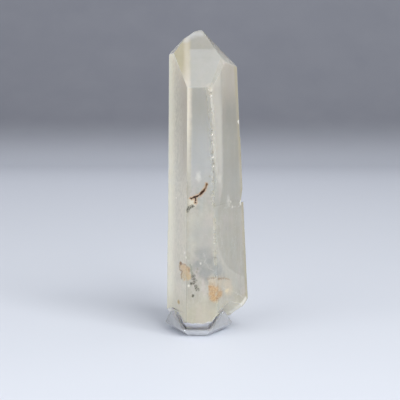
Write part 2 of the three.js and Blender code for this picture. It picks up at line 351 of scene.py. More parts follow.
class Signal:
    """A number that a shader node gives out, for use in plain arithmetic."""

    def __init__(self, painter, socket):
        self.painter = painter
        self.socket = socket

    def _join(self, operation, first, second):
        return self.painter.node("ShaderNodeMath", {"operation": operation}, {0: first, 1: second})

    def __add__(self, other):
        return self._join("ADD", self, other)

    def __radd__(self, other):
        return self._join("ADD", other, self)

    def __sub__(self, other):
        return self._join("SUBTRACT", self, other)

    def __rsub__(self, other):
        return self._join("SUBTRACT", other, self)

    def __mul__(self, other):
        return self._join("MULTIPLY", self, other)

    def least(self, other):
        """The smaller of two numbers."""
        return self._join("MINIMUM", self, other)

    def most(self, other):
        """The greater of two numbers."""
        return self._join("MAXIMUM", self, other)


class Painter:
    """Builds the nodes of one material."""

    def __init__(self, name):
        self.material = bpy.data.materials.new(name)
        self.material.use_nodes = True
        self.tree = self.material.node_tree
        self.tree.nodes.clear()
        coordinates = self.node("ShaderNodeTexCoord", output="Object")
        self.place = self.vector("SCALE", coordinates, Scale=1 / MM)
        self.x, self.y, self.z = (
            self.node("ShaderNodeSeparateXYZ", {}, {0: self.place}, axis) for axis in "XYZ")

    def node(self, kind, settings=None, inputs=None, output=0):
        """Adds a node, sets its settings and then its sockets, and returns one output as a Signal."""
        made = self.tree.nodes.new(kind)
        for name, value in (settings or {}).items():
            setattr(made, name, value)
        for name, value in (inputs or {}).items():
            if isinstance(value, Signal):
                self.tree.links.new(value.socket, made.inputs[name])
            else:
                made.inputs[name].default_value = value
        return Signal(self, made.outputs[output])

    def vector(self, operation, first, second=None, output=0, **more):
        """A sum of vectors, or a number such as a length where the output is named Value."""
        inputs = {0: first, **more}
        if second is not None:
            inputs[1] = second
        return self.node("ShaderNodeVectorMath", {"operation": operation}, inputs, output)

    def principled(self, colour, rough, inputs):
        """A Principled shader with some of its inputs set."""
        inputs = {"Base Color": colour, "Roughness": rough, **inputs}
        return self.node("ShaderNodeBsdfPrincipled", {}, inputs)

    def ramp(self, value, low, high, start=0.0, end=1.0):
        """A smooth step of a number from start to end, as it goes from low to high."""
        return self.node(
            "ShaderNodeMapRange",
            {"interpolation_type": "SMOOTHSTEP"},
            {"Value": value, "From Min": low, "From Max": high, "To Min": start, "To Max": end},
        )

    def mix(self, share, first, second):
        """A colour between two colours."""
        settings = {"data_type": "RGBA", "clamp_factor": True}
        inputs = {0: share}
        for index, colour in ((6, first), (7, second)):
            inputs[index] = colour if isinstance(colour, Signal) else (*colour, 1.0)
        return self.node("ShaderNodeMix", settings, inputs, 2)

    def noise(self, scale, detail=3.0, roughness=0.55, stretch=None, output=0):
        """Soft noise whose scale is in cells per millimetre."""
        place = self.vector("MULTIPLY", self.place, stretch) if stretch else self.place
        inputs = {"Vector": place, "Scale": scale, "Detail": detail, "Roughness": roughness}
        return self.node("ShaderNodeTexNoise", {}, inputs, output)

    def shaken(self, reach, scale):
        """The place, pushed about by noise, so that marks get ragged outlines."""
        cloud = self.noise(scale, 3.0, output=1)
        centred = self.vector("SUBTRACT", cloud, (0.5, 0.5, 0.5))
        return self.vector("ADD", self.place, self.vector("SCALE", centred, Scale=reach * 2))

    def blob(self, pixel, sizes, softness, place):
        """One inside an ellipsoid around a pixel of the photograph and zero outside it, with a soft rim."""
        offset = self.vector("SUBTRACT", place, tuple(seen_at(pixel)))
        scaled = self.vector("DIVIDE", offset, tuple(sizes))
        reach = self.vector("LENGTH", scaled, output="Value")
        return self.ramp(reach, 1.0 - softness, 1.0 + softness, 1.0, 0.0)

    def trace(self, pixels, place):
        """The distance in millimetres to a line through some pixels of the photograph."""
        points = [seen_at(pixel) for pixel in pixels]
        nearest = None
        for start, end in zip(points, points[1:]):
            run = end - start
            offset = self.vector("SUBTRACT", place, tuple(start))
            along = self.vector("DOT_PRODUCT", offset, tuple(run / run.length_squared), output="Value")
            foot = self.vector("SCALE", tuple(run), Scale=self.clamp(along))
            distance = self.vector("DISTANCE", offset, foot, output="Value")
            nearest = distance if nearest is None else nearest.least(distance)
        return nearest

    def clamp(self, value, low=0.0, high=1.0):
        """A number held between two others."""
        return self.node("ShaderNodeClamp", {}, {"Value": value, "Min": low, "Max": high})

    def spots(self, pixels, sizes, softness, place):
        """The blobs around some pixels of the photograph, put together."""
        together = None
        for pixel in pixels:
            blob = self.blob(pixel, sizes, softness, place)
            together = blob if together is None else together.most(blob)
        return together

    def over_rows(self, rows, start=0.0, end=1.0, height=None):
        """A smooth step of the height, from start at one row of the photograph to end at another."""
        first, second = (level_of(row) for row in rows)
        return self.ramp(height or self.z, first, second, start, end)

    def right_of(self, line, place=None):
        """How far a place is to the right of an upright line of the photograph, in millimetres."""
        top, bottom = (seen_at(pixel) for pixel in line)
        slope = (top.x - bottom.x) / (top.z - bottom.z)
        across, height = self.across_and_up(place)
        return across - (height - bottom.z) * slope - bottom.x

    def past_curve(self, points, place=None):
        """How far a place is to the right of a line down the photograph that bends, in millimetres."""
        spots = [seen_at(pixel) for pixel in points]
        across, height = self.across_and_up(place)
        edge = spots[0].x
        for above, below in zip(spots, spots[1:]):
            share = self.node(
                "ShaderNodeMapRange", {"interpolation_type": "LINEAR", "clamp": True},
                {"Value": height, "From Min": above.z, "From Max": below.z, "To Min": 0.0, "To Max": 1.0})
            edge = share * (below.x - above.x) + edge
        return across - edge

    def across_and_up(self, place=None):
        """How far across and how far up a place is, in millimetres."""
        return [self.node("ShaderNodeSeparateXYZ", {}, {0: place or self.place}, axis) for axis in "XZ"]

    def between(self, value, low, high, soft):
        """One where a number is between two others, with soft ends."""
        rise = self.ramp(value, low - soft, low + soft)
        return rise * self.ramp(value, high - soft, high + soft, 1.0, 0.0)

    def attribute(self, name):
        """A number that the piece's mesh carries on its faces."""
        return self.node("ShaderNodeAttribute", {"attribute_name": name}, output="Fac")

    def finish(self, surface, volume=None):
        """Joins the shaders to the material's output and returns the material."""
        output = self.tree.nodes.new("ShaderNodeOutputMaterial")
        self.tree.links.new(surface.socket, output.inputs["Surface"])
        if volume:
            self.tree.links.new(volume.socket, output.inputs["Volume"])
        return self.material


class Finish:
    """The milky quartz's colour with painted light and shade laid into it, how much of the clear quartz it
    covers, and what lies on both.
    """

    def __init__(self, paint, colour, cover):
        self.paint = paint
        self.colour = colour
        self.cover = cover
        self.deposit = 0.0
        self.deposit_colour = CHIP_DUST
        self.crust_rough = 0.5
        self.worn = 0.0

    def lay(self, mask, colour, cover):
        """Lays a colour and a cover over what is there, where a mask is one."""
        self.colour = self.paint.mix(mask, self.colour, colour)
        self.cover = self.cover + mask * (cover - self.cover)

    def mark(self, mask, colour):
        """Lays a matt deposit such as rust on the surface, as thick as a mask says."""
        share = self.paint.clamp(mask * 4.0)
        self.deposit_colour = self.paint.mix(share, self.deposit_colour, colour)
        self.deposit = mask.most(self.deposit)


def level_of(row):
    """The height in millimetres of the front face at a row of the photograph."""
    return seen_at((LEVEL_COLUMN, row)).z


def lay_painted_inner_light(finish, settings):
    """Painted light and shade: the bright and dark upright bands that the back edges make in the upper half.
    """
    paint = finish.paint
    front = paint.attribute("front")
    upper = front * paint.over_rows(BANDS_ROWS)
    streaks = paint.noise(0.45, 3.0, 0.6, stretch=(1.0, 1.0, 0.04))
    speckle = paint.noise(1.2, 4.0, 0.75, stretch=(1.0, 1.0, 0.5))
    ragged = paint.shaken(0.45, 0.5)
    past_corner = paint.past_curve(CORNER_EDGE, ragged)
    lay_painted_left_bands(finish, settings, front, upper, streaks, speckle, ragged, past_corner)
    lay_painted_right_bands(finish, settings, front, upper, streaks, past_corner)
    lay_corner(finish, upper, speckle, past_corner)


def lay_painted_left_bands(finish, settings, front, upper, streaks, speckle, ragged, past_corner):
    """Painted light on the left: the left side laid lighter over its real mottle, a painted bright rim, a
    painted darker band by the strip, the painted bright strip beside it, and the grey middle with a painted
    reflection of the sky.
    """
    paint = finish.paint
    in_strip = paint.right_of(STRIP_LEFT)
    past_strip = paint.right_of(STRIP_RIGHT, ragged)
    past_shade = paint.right_of(SHADE_EDGE, ragged)
    left_face = paint.ramp(in_strip, 0.12, -0.12) * front
    # Painted light: the left face is laid lighter, in a mottle that is partly the quartz's own grain.
    finish.lay(left_face * (0.1 + speckle * 1.1), *LEFT_SIDE_LIGHT_TONE)
    # Painted highlight: a bright rim along the left silhouette.
    left_rim = paint.ramp(past_shade, 0.8, -2.6) * left_face
    finish.lay(left_rim * 0.85, *LEFT_RIM_HIGHLIGHT_TONE)
    # Painted shade: a darker band on the left face beside the bright strip.
    by_strip = paint.ramp(in_strip, -4.6, -0.6) * left_face * upper
    finish.lay(by_strip * speckle * 0.8, *BESIDE_STRIP_SHADE_TONE)
    middle = paint.ramp(past_strip, -0.3, 0.2) * paint.ramp(past_corner, 0.1, -0.1) * upper
    # Painted reflection of the sky over the grey middle, bluer lower down.
    sky_reflection = paint.mix(paint.over_rows(SKY_ROWS), HIGH_SKY_REFLECTION, LOW_SKY_REFLECTION)
    finish.lay(middle * 0.8, sky_reflection, SKY_COVER)
    # Painted highlight: the bright strip of light seen through from the back.
    strip = paint.ramp(in_strip, -0.15, 0.15) * paint.ramp(past_strip, 0.7, -1.3) * upper
    strip = strip * paint.over_rows(STRIP_ROWS, 0.5, 1.0)
    finish.lay(strip * (0.65 + streaks * 0.5), tuple(settings.cream), STRIP_COVER)


def lay_painted_right_bands(finish, settings, front, upper, streaks, past_corner):
    """Painted light and shade on the right: the painted pale band past the front right edge, painted light at
    the top right, painted shade on the deep face beside it and a painted tan rim of light.
    """
    paint = finish.paint
    past_inner = paint.right_of(INNER_EDGE)
    past_band = paint.right_of(RIGHT_BAND)
    past_deep = paint.past_curve(DEEP_EDGE)
    # Painted light: a pale band seen through past the front right edge.
    inner = paint.ramp(past_corner, -0.1, 0.25) * paint.ramp(past_inner, 0.6, -0.8) * upper
    finish.lay(inner * (0.6 + streaks * 0.35), *INNER_LIGHT_TONE)
    # Painted shade on the deep face, weaker towards its top and its foot.
    depth = paint.over_rows(DEEP_LOW_ROWS, 0.5, 1.0)
    depth = depth * paint.ramp(paint.z, level_of(SHOULDER_ROW) + 8.0, level_of(DEEP_TOP_ROW), 0.2, 1.0)
    # Painted light on the top of the right front face.
    top_right = paint.over_rows(TOP_RIGHT_ROWS) * paint.ramp(past_inner, -0.2, 0.6) * front
    finish.lay(top_right * (0.5 + streaks * 0.4), *TOP_RIGHT_LIGHT_TONE)
    deep = paint.ramp(past_deep, -0.2, 0.9) * front * depth
    finish.lay(deep * (0.35 + streaks * 0.7), tuple(settings.shade), DEEP_SHADE_COVER)
    # Painted light: a tan rim along the right silhouette.
    band = paint.ramp(past_band, -0.6, 0.3) * front
    finish.lay(band * 0.6, *RIGHT_RIM_LIGHT_TONE)


def lay_corner(finish, upper, speckle, past_corner):
    """The worn front right edge, with a darker line along it and small dark and pale spots."""
    paint = finish.paint
    finish.worn = paint.between(past_corner, -1.0, 0.8, 0.3) * upper
    # A darker line along the edge.
    line = paint.between(past_corner, -0.55, -0.05, 0.3) * upper
    finish.lay(line * 0.5, *CORNER_LINE_TONE)
    finish.mark(line * 0.4, CORNER_LINE_DARK)
    low_corner = paint.over_rows(CORNER_ROWS)
    near_corner = paint.between(past_corner, -1.6, 0.5, 0.6) * upper * low_corner
    finish.mark(near_corner * paint.ramp(speckle, 0.60, 0.70) * 0.5, CORNER_DIRT)
    finish.lay(near_corner * paint.ramp(speckle, 0.42, 0.34) * 0.5, *CORNER_FLECK_TONE)


def lay_point(finish, settings):
    """The tan left of the point's front face, a painted view of the back face seen through it, its soft
    bright upright line, a painted highlight, and the pale break of its tip.
    """
    paint = finish.paint
    rhomb = paint.attribute("rhomb")
    finish.lay(rhomb * 0.8, *POINT_TONE)
    past_line = paint.right_of(POINT_LINE, paint.shaken(0.3, 0.3))
    # Painted view of the back face through the left of the point.
    left = paint.ramp(past_line, 0.5, -0.9) * rhomb
    base = level_of(POINT_BASE_ROW)
    low_left = paint.ramp(paint.z, base + 9.0, base + 1.0)
    finish.lay(left * 0.8, paint.mix(low_left, tuple(settings.tan), LOW_TAN), TAN_COVER)
    # Painted highlight: a soft bright upright line.
    line = paint.between(past_line, -2.4, -0.5, 0.8) * rhomb
    finish.lay(line * 0.5, *POINT_HIGHLIGHT_TONE)
    cap = paint.ramp(paint.trace(TIP_EDGE, paint.shaken(0.9, 0.5)), 0.2, 2.4, 1.0, 0.0)
    finish.lay(cap * 0.5, *TIP_TONE)


def lay_veils(finish):
    """The clear window low in the crystal, the pale foot with its painted light, and the white wisps, flecks
    and painted glints.
    """
    paint = finish.paint
    wide = paint.shaken(2.6, 0.35)
    fine = paint.shaken(0.35, 1.8)
    grain = paint.noise(2.2, 4.0, 0.7)
    lay_window(finish, wide, fine, grain)
    lay_foot(finish, fine, grain)
    lay_wisps_and_painted_glints(finish, wide, fine, grain)


def lay_window(finish, wide, fine, grain):
    """The faint healed cracks, the clear window and the bend where the deep face ends."""
    paint = finish.paint
    sheets = paint.noise(0.14, 5.0, 0.6, stretch=(1.0, 1.0, 0.5))
    healed = paint.between(sheets, 0.488, 0.512, 0.012) * paint.ramp(grain, 0.35, 0.6)
    finish.lay(healed * paint.over_rows(HEALED_ROWS) * 0.3, *HEALED_TONE)
    window = paint.spots(WINDOW, (2.4, 5.0, 2.6), 0.8, wide)
    finish.lay(window * (0.3 + grain * 0.7), *WINDOW_TONE)
    bend = paint.ramp(paint.trace(BEND, fine), 0.1, 0.6, 1.0, 0.0)
    finish.lay(bend * 0.25, *BEND_TONE)


def lay_foot(finish, fine, grain):
    """The tinted foot, the scoops of its break with painted light over their shade, a painted glint along the
    lower right break, painted light on the underside and a darker wavy line along its lower rim.
    """
    paint = finish.paint
    foot = paint.ramp(paint.z, 19.0, 7.0) * (0.4 + grain)
    finish.lay(foot * 0.5, *FOOT_TONE)
    # Painted light: the scoops are laid pale over the shade they lie in, whitest at the lower right.
    scoops = (1.0 - paint.attribute("front")) * paint.over_rows(SCOOP_ROWS)
    finish.lay(scoops * 0.8, *SCOOP_PAINTED_LIGHT_TONE)
    finish.lay(scoops * paint.ramp(paint.x, 9.6, 8.4) * 0.9, *WHITE_SCOOP_PAINTED_LIGHT_TONE)
    # Painted glint along the lower edge of the break.
    break_rim_glint = paint.ramp(paint.trace(BREAK_RIM, fine), 0.2, 1.3, 1.0, 0.0)
    finish.lay(break_rim_glint * 0.6, *BREAK_RIM_GLINT_TONE)
    # Painted light: the underside, which faces down into shade, is laid pale.
    wavy = paint.z + (paint.noise(0.45, 2.0) - 0.5) * 2.4
    finish.lay(paint.over_rows(UNDER_ROWS, height=wavy) * 0.9, *UNDERSIDE_PAINTED_LIGHT_TONE)
    low, high = (level_of(row) for row in FOOT_RIM_ROWS)
    # A darker wavy line along the lower rim.
    finish.mark(paint.between(wavy, low, high, 0.12) * 0.35, FOOT_RIM_DARK)


def lay_wisps_and_painted_glints(finish, wide, fine, grain):
    """The white wisps and flecks, the painted glints and sparks of highlight, the grey veil and the dim
    spots.
    """
    paint = finish.paint
    ragged = paint.shaken(0.9, 0.8)
    reach = paint.trace(WISPS[0], ragged)
    for line in WISPS[1:] + (HEALED_BREAK, BREAK_EDGE):
        reach = reach.least(paint.trace(line, ragged))
    wisps = paint.ramp(reach, 0.0, 0.42, 1.0, 0.0) * paint.ramp(grain, 0.38, 0.62)
    finish.lay(wisps * 0.55, *WISP_TONE)
    finish.lay(paint.spots(FLECKS, (0.35, 0.6, 0.38), 0.8, fine) * 0.65, *FLECK_TONE)
    # Painted highlights: the soft glints and the small sparks.
    finish.lay(paint.spots(GLINTS, (0.7, 1.2, 1.5), 0.9, ragged) * 0.45, *GLINT_TONE)
    finish.lay(paint.spots(SPARK_HIGHLIGHTS, (0.45, 0.32, 0.9), 0.6, ragged) * 0.9, *SPARK_HIGHLIGHT_TONE)
    finish.mark(paint.blob(CORNER_NOTCH, (1.3, 2.0, 1.9), 0.7, fine) * 0.7, NOTCH_DUST)
    veil = paint.spots(GREY_VEIL, (3.0, 4.0, 4.2), 0.8, wide)
    finish.lay(veil * (0.3 + grain * 0.5), *GREY_VEIL_TONE)
    finish.mark(paint.spots(DIM_SPOTS, (0.3, 0.7, 0.4), 0.7, fine) * 0.6, DIM_SPOT_DIRT)


def lay_left_stain(finish, settings, ragged, grain):
    """The left patch of earthy stain, darker on the face that turns to the light."""
    paint = finish.paint
    fill = paint.spots(LEFT_STAIN, (1.25, 2.2, 1.3), 0.45, ragged)
    pale = paint.mix(paint.over_rows(PALE_STAIN_ROWS), tuple(settings.stain), PALE_STAIN)
    past_edge = paint.ramp(paint.right_of(STRIP_LEFT), -0.3, 0.3)
    finish.mark(fill * (0.1 + grain * 1.0), paint.mix(past_edge * 0.6, pale, SHADED_STAIN))
    finish.mark(fill * paint.ramp(grain, 0.53, 0.66) * 0.9, DEEP_STAIN)


def lay_right_stain(finish, ragged, fine, grain):
    """The right patch of earthy stain and the blush above it, both cut off by an upright line."""
    paint = finish.paint
    limit = paint.ramp(paint.right_of(RIGHT_STAIN_LIMIT, fine), -0.1, 0.35)
    blush = paint.spots(RIGHT_BLUSH, (2.6, 3.2, 1.9), 0.8, ragged)
    finish.mark(blush * limit * (grain * 0.75), BLUSH_STAIN)
    around = paint.blob(RIGHT_STAIN_MIDDLE, (3.4, 4.0, 3.0), 0.7, ragged)
    finish.mark(around * limit * (0.15 + grain * 0.6), ROUND_STAIN)
    right = paint.spots(RIGHT_STAIN, (1.7, 2.4, 1.5), 0.7, ragged)
    red = paint.mix(paint.ramp(grain, 0.46, 0.6), ORANGE_STAIN, RED_STAIN)
    finish.mark(right * limit * (0.3 + grain * 0.8), red)


def lay_earth(finish, settings):
    """The two patches of earthy stain near the foot, their brown rims and the small spots beside them."""
    paint = finish.paint
    ragged = paint.shaken(0.8, 0.9)
    fine = paint.shaken(0.35, 1.8)
    grain = paint.noise(1.9, 4.0, 0.75)
    lay_left_stain(finish, settings, ragged, grain)
    lay_right_stain(finish, ragged, fine, grain)
    left_rim = paint.trace(LEFT_STAIN_RIM, fine)
    left_top = paint.trace(LEFT_STAIN_TOP, fine) + 0.15
    right_top = paint.trace(RIGHT_LINE, ragged) + 0.1
    reach = left_rim.least(left_top).least(right_top)
    outline = paint.ramp(reach, 0.12, 0.62, 1.0, 0.0) * paint.ramp(grain, 0.34, 0.54)
    finish.mark(outline * 0.7, STAIN_OUTLINE)
    finish.mark(paint.blob(LEFT_STAIN_CORE, (0.7, 1.2, 0.6), 0.5, fine) * 0.8, STAIN_CORE)
    finish.mark(paint.blob(SMALL_SPOT, (0.85, 1.0, 0.75), 0.6, fine) * 0.75, OCHRE_SPOT)
    cream = paint.blob(CREAM_FLECK, (1.5, 1.4, 0.6), 0.6, ragged)
    finish.lay(cream * 0.7, *CREAM_FLECK_TONE)


def lay_rust(finish, settings):
    """The rust thread in the middle with its orange rim and cream bloom."""
    paint = finish.paint
    ragged = paint.shaken(0.9, 0.8)
    fine = paint.shaken(0.5, 1.6)
    grain = paint.noise(2.8, 4.0, 0.7)
    knots = paint.noise(0.9, 3.0, 0.7)
    bloom = paint.blob(THREAD_BLOOM, (1.7, 2.0, 1.5), 0.6, ragged)
    finish.lay(bloom * (0.3 + grain * 0.6), *BLOOM_TONE)
    distance = paint.trace(RUST_THREAD, fine).least(paint.trace(RUST_BRANCH, fine) + 0.08)
    distance = distance - (grain - 0.5) * 0.5 - (knots - 0.5) * 1.3
    finish.mark(paint.ramp(distance, 0.35, 0.95, 1.0, 0.0) * 0.55, RUST_HALO)
    thread = paint.ramp(distance, 0.2, 0.44, 1.0, 0.0)
    rust = paint.mix(paint.over_rows(FRESH_RUST_ROWS), tuple(settings.rust), FRESH_RUST)
    finish.mark(thread, rust)
    lay_specks(finish, ragged, fine, grain)


def lay_specks(finish, ragged, fine, grain):
    """The grey curve, the chain of dark specks near the foot and the few that lie alone."""
    paint = finish.paint
    finish.mark(paint.ramp(paint.trace(GREY_CURVE, fine), 0.1, 0.55, 0.6, 0.0), GREY_DIRT)
    chain = paint.ramp(paint.trace(SPECK_CHAIN, ragged), 0.25, 1.0, 1.0, 0.0)
    tail = paint.ramp(paint.trace(THREAD_TAIL, fine), 0.25, 0.9, 1.0, 0.0)
    chain = (chain * paint.ramp(grain, 0.44, 0.52)).most(tail * paint.ramp(grain, 0.38, 0.5))
    dots = paint.spots(LONE_SPECKS, (0.42, 0.6, 0.55), 0.6, fine)
    scattered = paint.ramp(paint.noise(1.3, 2.0, 0.5), 0.69, 0.75) * paint.ramp(paint.z, 30.0, 14.0)
    finish.mark(scattered * paint.attribute("front") * 0.45, GREEN_SPECKS)
    finish.mark(dots.most(chain) * 0.9, DARK_SPECKS)


def milk_colour(paint, settings, curd):
    """The colour of the milky quartz, which turns a little warm in some places and green in others."""
    blush = paint.noise(0.22, 3.0, 0.6, stretch=(1.0, 1.0, 0.35))
    milk = paint.mix(curd, tuple(settings.milk), PALE_MILK)
    milk = paint.mix(paint.ramp(blush, 0.50, 0.66, 0.0, 0.55), milk, WARM_MILK)
    return paint.mix(paint.ramp(blush, 0.46, 0.34, 0.0, 0.5), milk, GREEN_MILK)


def lay_breaks(finish, broken, chipped, curd):
    """The pale broken foot and tip, and the dull chips on the edges."""
    paint = finish.paint
    at_foot = paint.ramp(paint.z, 60.0, 40.0)
    finish.lay(broken * at_foot * (0.6 + curd * 0.3), *BROKEN_FOOT_TONE)
    finish.lay(broken * (1.0 - at_foot) * 0.6, *BROKEN_TIP_TONE)
    finish.mark(chipped * 0.4, CHIP_DUST)


def quartz_surface(paint, settings, finish, rough, bump):
    """Clear quartz, milky quartz over it, and what lies on both."""
    glass = paint.principled((*settings.clear, 1.0), rough, {
        "IOR": QUARTZ_IOR, "Transmission Weight": 1.0, "Normal": bump})
    milky = paint.principled(finish.colour, rough, {
        "IOR": QUARTZ_IOR, "Normal": bump, "Subsurface Weight": 0.6,
        "Subsurface Scale": settings.glow, "Subsurface Radius": (1.0, 0.9, 0.7)})
    crust = paint.principled(finish.deposit_colour, finish.crust_rough, {
        "IOR": CRUST_IOR, "Normal": bump, "Specular IOR Level": 0.08})
    body = paint.node("ShaderNodeMixShader", {}, {0: finish.cover, 1: glass, 2: milky})
    return paint.node("ShaderNodeMixShader", {}, {0: finish.deposit, 1: body, 2: crust})


def quartz_material(settings):
    """Glassy quartz that turns milky towards its foot, with rust, earth and specks, and painted light, shade
    and glints laid into its colour.
    """
    paint = Painter("quartz")
    cloud = paint.noise(0.16, 4.0, 0.6, stretch=(1.0, 1.0, 0.6))
    curd = paint.noise(0.9, 4.0, 0.65)
    streaks = paint.noise(0.3, 3.0, 0.6, stretch=(1.0, 1.0, 0.05))
    low = paint.ramp(paint.z, 62.0, 36.0)
    cover = 0.46 + low * 0.22 + (cloud - 0.5) * 0.45 + (curd - 0.5) * 0.16 + (streaks - 0.5) * 0.35
    cover = paint.clamp(cover, 0.15, 0.92)
    broken = paint.attribute("broken")
    chipped = paint.attribute("chipped") * paint.ramp(curd, 0.4, 0.55)

    finish = Finish(paint, milk_colour(paint, settings, curd), cover)
    finish.crust_rough = 0.45 + curd * 0.2
    lay_painted_inner_light(finish, settings)
    lay_point(finish, settings)
    lay_breaks(finish, broken, chipped, curd)
    lay_veils(finish)
    lay_earth(finish, settings)
    lay_rust(finish, settings)

    ripple = paint.noise(0.35, 3.0, 0.5, stretch=(0.6, 0.6, 3.0))
    pits = paint.noise(3.5, 3.0, 0.6)
    relief = ripple * 0.6 + pits * 0.25 + curd * 0.4
    bump = paint.node("ShaderNodeBump", {}, {"Strength": 0.25, "Distance": 0.00012, "Height": relief})
    rough = 0.08 + low * 0.1 + (cloud - 0.5) * 0.2 + broken * 0.25 + chipped * 0.3 + finish.worn * 0.4
    surface = quartz_surface(paint, settings, finish, paint.clamp(rough, 0.04, 0.6), bump)
    volume = paint.node("ShaderNodeVolumeAbsorption", {}, {
        "Color": (*settings.depth_tint, 1.0), "Density": settings.depth_density})
    return paint.finish(surface, volume)


def acrylic_material(settings):
    """Clear moulded acrylic with a faint haze of handling marks, and painted light at its foot: a whiter,
    thicker haze where the floor under it lies in shade.
    """
    paint = Painter("clear_acrylic")
    smear = paint.noise(0.35, 3.0, 0.6)
    scuff = paint.noise(1.6, 4.0, 0.7, stretch=(1.0, 1.0, 3.0))
    # Painted light: the foot is laid whiter and hazier towards the floor.
    foot = paint.ramp(paint.z, 3.6, 1.4)
    rough = paint.clamp(0.02 + smear * 0.06 + (scuff - 0.5) * 0.08, 0.02, 0.3)
    bump = paint.node("ShaderNodeBump", {}, {
        "Strength": 0.1, "Distance": 0.00005, "Height": smear + scuff * 0.3})
    clear = paint.principled((1.0, 1.0, 1.0, 1.0), rough, {
        "IOR": ACRYLIC_IOR, "Transmission Weight": 1.0, "Normal": bump})
    haze = paint.principled(paint.mix(foot, tuple(settings.haze), ACRYLIC_FOOT_PAINTED_LIGHT), rough, {
        "IOR": ACRYLIC_IOR, "Normal": bump, "Subsurface Weight": 0.5,
        "Subsurface Scale": ACRYLIC_GLOW, "Subsurface Radius": (1.0, 1.0, 1.0)})
    cover = paint.clamp(0.26 + smear * 0.2 + (scuff - 0.5) * 0.1 + foot * 0.5, 0.2, 0.92)
    surface = paint.node("ShaderNodeMixShader", {}, {0: cover, 1: clear, 2: haze})
    volume = paint.node("ShaderNodeVolumeAbsorption", {}, {
        "Color": (*settings.tint, 1.0), "Density": ACRYLIC_DENSITY})
    return paint.finish(surface, volume)


def is_front(face):
    """Whether a face is an upright side that faces the front."""
    return is_prism(face) and face.normal.y < -0.3


def copied_solid(node):
    """A bmesh of a CAD node with its loose triangles merged and its flat faces made whole."""
    shape = bmesh.new()
    shape.from_mesh(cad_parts[node].data)
    bmesh.ops.remove_doubles(shape, verts=shape.verts, dist=0.002 * MM)
    bmesh.ops.dissolve_limit(
        shape, angle_limit=math.radians(0.6), verts=shape.verts, edges=shape.edges,
        use_dissolve_boundaries=False)
    return shape


def made_object(name, shape, material):
    """Turns a bmesh into a finished piece that rides on the root body."""
    mesh = bpy.data.meshes.new(name)
    shape.to_mesh(mesh)
    shape.free()
    mesh.materials.append(material)
    piece = bpy.data.objects.new(name, mesh)
    bpy.context.scene.collection.objects.link(piece)
    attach(piece, "root")
    return piece


def edge_angle(edge):
    """The angle between an edge's two faces."""
    return edge.calc_face_angle(0.0) if len(edge.link_faces) == 2 else 0.0


def round_edges(shape, edges, width):
    """Rounds edges with two narrow strips each."""
    bmesh.ops.bevel(
        shape, geom=edges, offset=width, offset_type="OFFSET", segments=2,
        profile=0.5, affect="EDGES", material=-1, clamp_overlap=True)


def shade_smooth(shape, limits):
    """Smooths each face, and keeps the edges sharp whose angle is over their face's limit in degrees."""
    for face in shape.faces:
        face.smooth = True
    for edge in shape.edges:
        limit = max((limits(face) for face in edge.link_faces), default=0)
        edge.smooth = edge_angle(edge) < math.radians(limit)


def upright_edges(shape):
    """The ends of the long, nearly upright edges between the prism faces."""
    found = []
    for edge in shape.edges:
        start, end = (vert.co.copy() for vert in edge.verts)
        run = end - start
        if run.length > 3 * MM and abs(run.z) > 0.97 * run.length and edge_angle(edge) > SHARP:
            found.append((start, end))
    return found


def is_broken(face):
    """Whether a face belongs to the broken foot or the broken left of the tip."""
    middle = face.calc_center_median()
    if middle.z < FOOT_TOP:
        return abs(face.normal.z) > 0.1
    return middle.z > TIP_BREAK_LOW and face.normal.x < -0.35 and middle.y < TIP_BREAK_BACK


def is_rhomb(face):
    """Whether a face is the point's large front face."""
    return face.normal.z > 0.55 and face.normal.y < -0.6


def is_prism(face):
    """Whether a face is one of the upright sides."""
    return abs(face.normal.z) < 0.2 and not is_broken(face)


def cut_plane(shape, faces, place, normal):
    """Cuts a straight line into some faces."""
    geometry = {*faces}
    for face in faces:
        geometry.update(face.edges, face.verts)
    bmesh.ops.bisect_plane(
        shape, geom=list(geometry), dist=0.001 * MM, plane_co=place, plane_no=normal)


def cut_beside(shape, start, end, width):
    """Cuts a line on each side of an upright edge, so that nicks stay close to it."""
    run = (end - start).normalized()
    outward = Vector((start.x, start.y, 0)).normalized()
    across = run.cross(outward).normalized()
    for side in (-1, 1):
        near = [f for f in shape.faces if abs(f.normal.z) < 0.1 and f.normal.dot(outward) > 0.3]
        cut_plane(shape, near, start + across * width * side, across)


def cut_growth_lines(shape, step):
    """Cuts level lines into the prism faces, unevenly spaced."""
    level = CRYSTAL_LOW.z + step
    while level < SHOULDER_TOP:
        sides = [f for f in shape.faces if abs(f.normal.z) < 0.25]
        cut_plane(shape, sides, Vector((0, 0, level)), Vector((0, 0, 1)))
        level += step * (1 + 0.5 * noise.noise(Vector((level / MM * 1.7, 0, 0))))


def inward(place):
    """The level direction from a place towards the crystal's axis."""
    return Vector((-place.x, -place.y, 0)).normalized()


def nick_depth(place, edge_index, wear):
    """How deep the nicks on an upright edge are at a height, with more on the front right edge."""
    height = place.z / MM
    rough = noise.noise(Vector((height * 0.55, edge_index * 7.3, 0)))
    fine = noise.noise(Vector((height * 1.9, edge_index * 3.1, 5)))
    fade = min(1.0, max(0.0, (NICKS_TOP - place.z) / NICKS_FADE))
    return wear * fade * max(0.0, rough * 0.9 + fine * 0.7 - 0.12)


